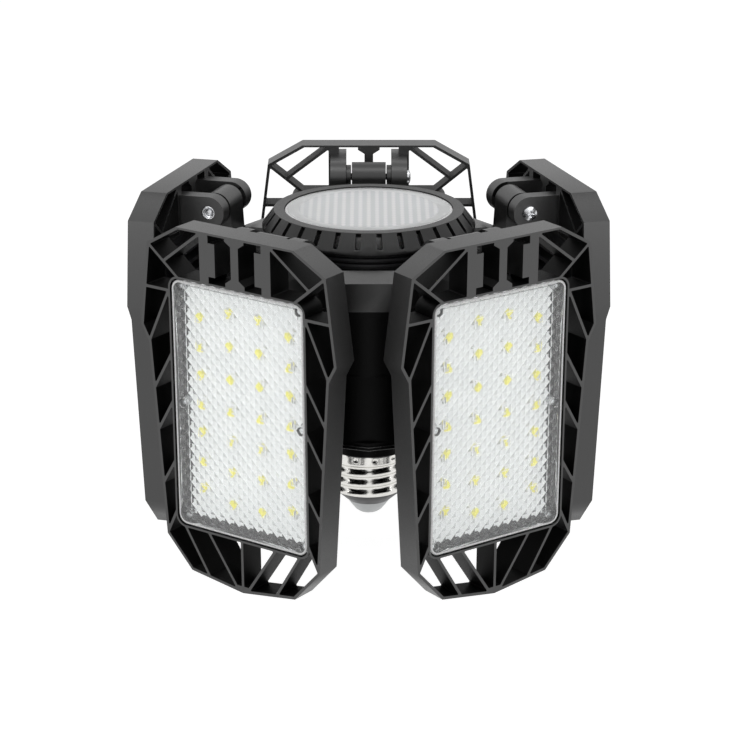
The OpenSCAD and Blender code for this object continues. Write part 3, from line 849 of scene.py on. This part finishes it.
def centre_lens_mesh():
    """Round lens: smooth and slightly rounded outside, pillows inside, with a skirt."""
    bm = bmesh.new()
    lathe(bm, LENS_PROFILE, LENS_SIDES)
    for face in bm.faces:
        reach = math.hypot(*face.calc_center_median().xy)
        # Faces beyond the field take the frosted white, partly a painted rim highlight
        if reach > FROSTED_FROM * MM:
            face.material_index = 1
        elif reach > LENSLET_FIELD * MM:
            face.material_index = 2
    rim = list(bm.verts)[-LENS_SIDES:]
    sheet = Sheet()
    sheet.add_loop(ring(SKIRT_INNER, LENS_SIDES))
    for centre in lenslet_centres():
        add_lenslet(sheet, centre)
    corners, triangles, spots = sheet.triangulate()
    on_rim = {spots[i]: rim[i] for i in range(LENS_SIDES)}
    inner = [
        on_rim[i] if i in on_rim else bm.verts.new((x * MM, y * MM, (LENS_BASE - depth) * MM))
        for i, (x, y, depth) in enumerate(corners)
    ]
    for triangle in triangles:
        bm.faces.new([inner[i] for i in triangle])
    return finish_mesh("centre_lens", bm, [RIPPLED, FROSTED_HIGHLIGHT, LENS_BORDER], smooth_angle=32.0)


# ---------------------------------------------------------------- screws

# A head's dome: sides, inner ring and fall at the edge (as shares of the head's), and power
HEAD_SIDES = 32
HEAD_INNER_RING = 0.82
DOME_FALL = 0.42
DOME_POWER = 2.6

# The cross recess, as shares of the head's radius and height, and the taper to its floor
CROSS_ARM = 0.55
CROSS_WIDTH = 0.16
CROSS_DEPTH = 0.45
CROSS_TAPER = 0.7

# A shank's thread, as shares of its pitch and radius, and the length of its plain tip
ROD_SIDES = 24
ROD_START = 0.02
CREST_END = 0.45
ROOT_END = 0.95
ROOT_RADIUS = 0.86
ROD_TIP = 0.4

PIN_RADIUS = 1.25
PIN_PITCH = 0.5
PIN_LENGTH = 2 * LUG_OUT - 0.7
PIN_HEAD_RADIUS = 2.4
PIN_HEAD_HEIGHT = 1.3
PANEL_SCREW_RADIUS = 0.95
PANEL_SCREW_PITCH = 0.6
PANEL_SCREW_LENGTH = 5.8
PANEL_HEAD_RADIUS = 1.9
PANEL_HEAD_HEIGHT = 1.4
TO_LEFT = Matrix.Rotation(math.radians(-90), 4, "Y")


def cross_head(bm, radius, height, place):
    """A domed screw head with a cross recess, standing on its place's XY plane."""
    a = CROSS_ARM * radius
    w = CROSS_WIDTH * radius
    cross = [(a, -w), (a, w), (w, w), (w, a), (-w, a), (-w, w)]
    cross += [(-x, -y) for x, y in cross]
    sheet = Sheet()
    sheet.add_loop(ring(radius, HEAD_SIDES))
    sheet.add_loop(ring(radius * HEAD_INNER_RING, HEAD_SIDES))
    cross_start = sheet.add_loop(cross)
    corners, triangles, spots = sheet.triangulate()

    def vertex(x, y, z):
        return bm.verts.new(place @ Vector((x * MM, y * MM, z * MM)))

    def dome(x, y):
        return height * (1 - DOME_FALL * (math.hypot(x, y) / radius) ** DOME_POWER)

    top = [vertex(x, y, dome(x, y)) for x, y, _ in corners]
    for triangle in triangles:
        x, y = middle_of(corners, triangle)
        in_cross = (abs(x) < a and abs(y) < w) or (abs(y) < a and abs(x) < w)
        if not in_cross:
            bm.faces.new([top[i] for i in triangle])
    floor_height = height - CROSS_DEPTH * height
    floor = [vertex(x * CROSS_TAPER, y * CROSS_TAPER, floor_height) for x, y in cross]
    bridge(bm, [top[spots[cross_start + i]] for i in range(len(cross))], floor)
    bm.faces.new(floor)
    foot = [vertex(x, y, 0) for x, y in ring(radius, HEAD_SIDES)]
    bridge(bm, [top[spots[i]] for i in range(HEAD_SIDES)], foot)
    bm.faces.new(foot)


def threaded_rod(bm, radius, length, pitch, place):
    """A screw's shank, with its thread as fine rings and a rounded end."""
    profile = [(0, ROD_START), (radius, ROD_START)]
    height = ROD_START
    while height + pitch < length - ROD_TIP:
        profile.append((radius, height + pitch * CREST_END))
        profile.append((radius * ROOT_RADIUS, height + pitch * ROOT_END))
        height += pitch
    profile += [(radius * 0.9, length - 0.35), (radius * 0.6, length - 0.05), (0, length)]
    lathe(bm, profile, ROD_SIDES, place)


def hinge_screw_mesh():
    """A panel's hinge pin: a screw whose head is on the left lug, with its shank to the right."""
    bm = bmesh.new()
    head = Matrix.Translation((-LUG_OUT * MM, 0, 0)) @ TO_LEFT
    cross_head(bm, PIN_HEAD_RADIUS, PIN_HEAD_HEIGHT, head)
    threaded_rod(bm, PIN_RADIUS, PIN_LENGTH, PIN_PITCH, head @ UPSIDE_DOWN)
    return finish_mesh("hinge_screw", bm, [ZINC], smooth_angle=35.0)


def panel_screw_mesh():
    """The six screws that go from a panel's back plate into the cover's bosses."""
    bm = bmesh.new()
    for x, z in BOSS_PLACES:
        head = outward(x, FACE_Y + PANEL_DEPTH, RIM_MIDDLE + z) @ UPSIDE_DOWN
        shank = head @ UPSIDE_DOWN
        cross_head(bm, PANEL_HEAD_RADIUS, PANEL_HEAD_HEIGHT, head)
        threaded_rod(bm, PANEL_SCREW_RADIUS, PANEL_SCREW_LENGTH, PANEL_SCREW_PITCH, shank)
    return finish_mesh("panel_screws", bm, [ZINC], smooth_angle=35.0)


# ---------------------------------------------------------------- screw base

# The rolled shell and its helical thread
SHELL_SIDES = 288
SHELL_ROWS = 104
SHELL_TOP = 24.3
SHELL_BOTTOM = 9.4
SHELL_BORE = 11.9
BAND_RADIUS = 13.05
BAND_BOTTOM = 20.7
THREAD_START = 17.8
THREAD_PITCH = 3.629
THREAD_DEPTH = 0.75
THREAD_PLAY = 0.05

# How the thread runs out into the band, and how the shell's top edge curls in
FADE_BELOW = 0.3
FADE_LENGTH = 0.9
CURL_LENGTH = 0.4
CURL = 1.5

# The row of punch marks on the band: each fades with distance, as a share of its size
PUNCH_COUNT = 12
PUNCH_FIRST = 10.0
PUNCH_HEIGHT = 22.8
PUNCH_SIZE = (0.75, 0.6)
PUNCH_DEPTH = 0.45
PUNCH_FADE = 1.8
PUNCH_REACH = 4

# The insulator's cone and the solder tip, which meet at the insulator's foot
INSULATOR_SIDES = 96
CONTACT_SIDES = 72
INSULATOR_FOOT = 4.9
INSULATOR_PROFILE = [
    (2.0, INSULATOR_FOOT),
    (7.3, INSULATOR_FOOT),
    (7.6, 5.05),
    (12.0, 8.9),
    (12.3, SHELL_BOTTOM),
    (11.8, SHELL_BOTTOM),
    (11.8, 10.5),
    (2.0, 10.5),
    (2.0, INSULATOR_FOOT),
]
CONTACT_PROFILE = [
    (0, 0.25),
    (0.9, 0.22),
    (1.3, 0.02),
    (2.6, 0.1),
    (3.6, 0.45),
    (4.7, 1.3),
    (6.0, 2.9),
    (7.0, 4.3),
    (7.15, INSULATOR_FOOT),
    (1.95, INSULATOR_FOOT),
    (1.95, 11.1),
    (0, 11.1),
]


def shell_radius(height, angle):
    """Radius of the rolled shell at a height and an angle about the axis."""
    turn = 2 * math.pi * (height - THREAD_START) / THREAD_PITCH
    wave = math.cos(turn - angle - math.pi / 2)
    thread = BAND_RADIUS - THREAD_PLAY - THREAD_DEPTH / 2 + THREAD_DEPTH / 2 * wave
    fade = min(max((height - BAND_BOTTOM + FADE_BELOW) / FADE_LENGTH, 0.0), 1.0)
    radius = thread * (1 - fade) + BAND_RADIUS * fade
    curl = max(height - (SHELL_TOP - CURL_LENGTH), 0.0)
    radius -= curl * curl * CURL
    for i in range(PUNCH_COUNT):
        spot = math.radians(PUNCH_FIRST - 90 + 360 * i / PUNCH_COUNT)
        across = math.remainder(angle - spot, 2 * math.pi) * BAND_RADIUS
        up = height - PUNCH_HEIGHT
        reach = (across / PUNCH_SIZE[0]) ** 2 + (up / PUNCH_SIZE[1]) ** 2
        if reach < PUNCH_REACH:
            radius -= PUNCH_DEPTH * math.exp(-PUNCH_FADE * reach)
    return radius


def shell_row(height):
    """The points round the rolled shell at one height."""
    angles = [2 * math.pi * i / SHELL_SIDES for i in range(SHELL_SIDES)]
    radii = [shell_radius(height, angle) for angle in angles]
    return [(r * math.cos(angle), r * math.sin(angle)) for r, angle in zip(radii, angles)]


def screw_shell_mesh():
    """Rolled nickel shell with a smooth thread and a ring of small punch marks."""
    bm = bmesh.new()
    rows = []
    for row in range(SHELL_ROWS + 1):
        height = SHELL_BOTTOM + (SHELL_TOP - SHELL_BOTTOM) * row / SHELL_ROWS
        rows.append(loop(bm, shell_row(height), height))
    for below, above in zip(rows, rows[1:]):
        bridge(bm, below, above)
    lower = loop(bm, ring(SHELL_BORE, SHELL_SIDES), SHELL_BOTTOM)
    upper = loop(bm, ring(SHELL_BORE, SHELL_SIDES), SHELL_TOP)
    bridge(bm, rows[0], lower)
    bridge(bm, rows[-1], upper)
    bridge(bm, lower, upper)
    return finish_mesh("screw_shell", bm, [NICKEL], smooth_angle=50.0)


def insulator_mesh():
    bm = bmesh.new()
    lathe(bm, INSULATOR_PROFILE, INSULATOR_SIDES)
    bmesh.ops.remove_doubles(bm, verts=bm.verts, dist=SEAM_WELD)
    return finish_mesh("base_insulator", bm, [INSULATOR], smooth_angle=40.0)


def contact_mesh():
    bm = bmesh.new()
    lathe(bm, CONTACT_PROFILE, CONTACT_SIDES)
    return finish_mesh("centre_contact", bm, [SOLDER], smooth_angle=50.0)


# ---------------------------------------------------------------- assembly

# Rounded copies of CAD pieces: name, CAD node, material, width of the rounding, slot
ROUNDED_ON_PANELS = (
    ("skeleton_frame", "panel_frame", FRAME_PLASTIC, 0.18, "black_plastic"),
    ("finned_back", "panel_heat_sink", BLACK_METAL, 0.15, "black_aluminium"),
    ("led_board", "panel_board", WHITE_MASK, 0.1, "white_board"),
    ("friction_washers", "hinge_washers", HUB_PLASTIC, 0.15, "black_plastic"),
    ("sunk_nut", "hinge_nut", ZINC, 0.2, "screw_steel"),
)
ROUNDED_ON_LAMP = (
    ("bezel_ring", "lens_bezel", BEZEL_PLASTIC, 0.22, "black_plastic"),
    ("hub_with_arms", "hinge_hub", HUB_PLASTIC, 0.3, "black_plastic"),
    ("driver_cup", "driver_housing", HOUSING_PLASTIC, 0.25, "black_plastic"),
    ("cap_and_collar", "base_cap", HOUSING_PLASTIC, 0.25, "black_plastic"),
    ("fin_stack", "heat_sink", BLACK_METAL, 0.12, "black_aluminium"),
    ("centre_board", "centre_led_board", WHITE_MASK, 0.1, "white_board"),
)

# CAD pieces inside the lamp, which only take a better material
INSIDE = (
    ("centre_screws", ZINC),
    ("driver_board", GREEN_MASK),
    ("driver_capacitors", SLEEVE),
    ("driver_transformer", TAPE),
)


def dress_panels():
    place = hinge_place(BACK_PANEL)
    for name, node, material, width, slot in ROUNDED_ON_PANELS:
        # The frame's walls that face other walls take painted shade, and its rounded edges a painted
        # highlight
        inner, edge = (INNER_SHADE_PLASTIC, EDGE_HIGHLIGHT_PLASTIC) if node == "panel_frame" else (None, None)
        mesh = softened(name, f"{node}_{BACK_PANEL}", material, width, place, inner, edge)
        on_panels(name, node, mesh, rounded=True)
    on_panels("prism_cover", "panel_lens", cover_mesh())
    on_panels("led_rows", "panel_leds", panel_led_mesh())
    on_panels("cross_head_pin", "hinge_screw", hinge_screw_mesh())
    on_panels("back_screws", "panel_screws", panel_screw_mesh())


def dress_lamp():
    for name, node, material, width, slot in ROUNDED_ON_LAMP:
        # The rounded edges of the black plastic pieces take a painted highlight
        edge = EDGE_HIGHLIGHT_PLASTIC if slot == "black_plastic" else None
        on_lamp(name, node, softened(name, node, material, width, edge=edge), rounded=True)
    on_lamp("rippled_lens", "centre_lens", centre_lens_mesh())
    on_lamp("centre_led_rings", "centre_leds", centre_led_mesh())
    on_lamp("rolled_shell", "screw_shell", screw_shell_mesh())
    on_lamp("insulating_cone", "base_insulator", insulator_mesh())
    on_lamp("contact_tip", "centre_contact", contact_mesh())
    for node, material in INSIDE:
        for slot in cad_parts[node].material_slots:
            slot.material = material


# ---------------------------------------------------------------- studio

# Camera, fitted to the photograph: metres, degrees, and a lens in millimetres on a 36 mm sensor
CAMERA_BACK = 0.9064
CAMERA_HEIGHT = 0.3535
CAMERA_PITCH = 18.37
CAMERA_LENS = 136.6
CAMERA_SENSOR = 36
CAMERA_SHIFT_X = -0.0031

# The floor: its radius in metres, its gap below the lamp, its tone under the lamps, and its glow
FLOOR_RADIUS = 4.0
FLOOR_GAP = 0.05
FLOOR_TONE = 0.3
FLOOR_ROUGHNESS = 0.9
FLOOR_GLOW = 0.97
WORLD_LIGHT = 0.1
WHITE = (1, 1, 1, 1)

# Soft lights, aimed at the lamp's middle: name, place and size in metres, and power in watts
LIGHT_AIM = Vector((0, 0, 0.06))
LIGHTS = (
    ("overhead", (0, -0.3, 1.2), (1.0, 0.5), 3.4),
    ("left", (-0.95, -0.75, 0.45), (0.9, 0.7), 4.5),
    ("right", (0.95, -0.75, 0.45), (0.9, 0.7), 4.5),
)


def seen_directly(tree):
    """1 for a ray from the camera, a mirror or a clear piece, and 0 for a ray that only lights."""
    path = tree.nodes.new("ShaderNodeLightPath")
    total = path.outputs["Is Camera Ray"]
    for name in ("Is Glossy Ray", "Is Transmission Ray"):
        highest = tree.nodes.new("ShaderNodeMath")
        highest.operation = "MAXIMUM"
        tree.links.new(total, highest.inputs[0])
        tree.links.new(path.outputs[name], highest.inputs[1])
        total = highest.outputs[0]
    return total


def floor_material():
    """A pale floor that takes shadows, with a glow that only direct rays see."""
    material = bpy.data.materials.new("white_floor")
    material.use_nodes = True
    tree = material.node_tree
    shader = tree.nodes["Principled BSDF"]
    shader.inputs["Base Color"].default_value = (FLOOR_TONE, FLOOR_TONE, FLOOR_TONE, 1)
    shader.inputs["Roughness"].default_value = FLOOR_ROUGHNESS
    shader.inputs["Specular IOR Level"].default_value = 0.0
    glow = tree.nodes.new("ShaderNodeEmission")
    glow.inputs["Color"].default_value = WHITE
    power = tree.nodes.new("ShaderNodeMath")
    power.operation = "MULTIPLY"
    power.inputs[1].default_value = FLOOR_GLOW
    total = tree.nodes.new("ShaderNodeAddShader")
    tree.links.new(seen_directly(tree), power.inputs[0])
    tree.links.new(power.outputs[0], glow.inputs["Strength"])
    tree.links.new(shader.outputs[0], total.inputs[0])
    tree.links.new(glow.outputs[0], total.inputs[1])
    tree.links.new(total.outputs[0], tree.nodes["Material Output"].inputs["Surface"])
    return material


def make_floor():
    floor_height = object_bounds()[0].z - FLOOR_GAP * MM
    bm = bmesh.new()
    bmesh.ops.create_circle(bm, cap_ends=True, segments=64, radius=FLOOR_RADIUS)
    bm.transform(Matrix.Translation((0, 0, floor_height)))
    link("floor", finish_mesh("floor", bm, [floor_material()]))


def make_world():
    """A white world to look at, which lights the scene only a little."""
    world = bpy.data.worlds.new("studio")
    bpy.context.scene.world = world
    world.use_nodes = True
    tree = world.node_tree
    lit = tree.nodes["Background"]
    lit.inputs["Color"].default_value = WHITE
    lit.inputs["Strength"].default_value = WORLD_LIGHT
    shown = tree.nodes.new("ShaderNodeBackground")
    shown.inputs["Color"].default_value = WHITE
    mix = tree.nodes.new("ShaderNodeMixShader")
    tree.links.new(seen_directly(tree), mix.inputs[0])
    tree.links.new(lit.outputs[0], mix.inputs[1])
    tree.links.new(shown.outputs[0], mix.inputs[2])
    tree.links.new(mix.outputs[0], tree.nodes["World Output"].inputs["Surface"])


def make_lights():
    for name, place, size, power in LIGHTS:
        light = bpy.data.lights.new(name, "AREA")
        light.shape = "RECTANGLE"
        light.size, light.size_y = size
        light.energy = power
        lamp = bpy.data.objects.new(name, light)
        bpy.context.scene.collection.objects.link(lamp)
        lamp.location = place
        lamp.rotation_euler = (LIGHT_AIM - Vector(place)).to_track_quat("-Z", "Y").to_euler()


def make_camera():
    camera = bpy.data.objects.new("camera", bpy.data.cameras.new("camera"))
    bpy.context.scene.collection.objects.link(camera)
    camera.location = (0, -CAMERA_BACK, CAMERA_HEIGHT)
    camera.rotation_euler = (math.radians(90 - CAMERA_PITCH), 0, 0)
    camera.data.lens = CAMERA_LENS
    camera.data.sensor_width = CAMERA_SENSOR
    camera.data.shift_x = CAMERA_SHIFT_X
    bpy.context.scene.camera = camera


make_camera()
make_floor()
make_world()
make_lights()
dress_panels()
dress_lamp()

bpy.context.scene.view_settings.view_transform = "Standard"
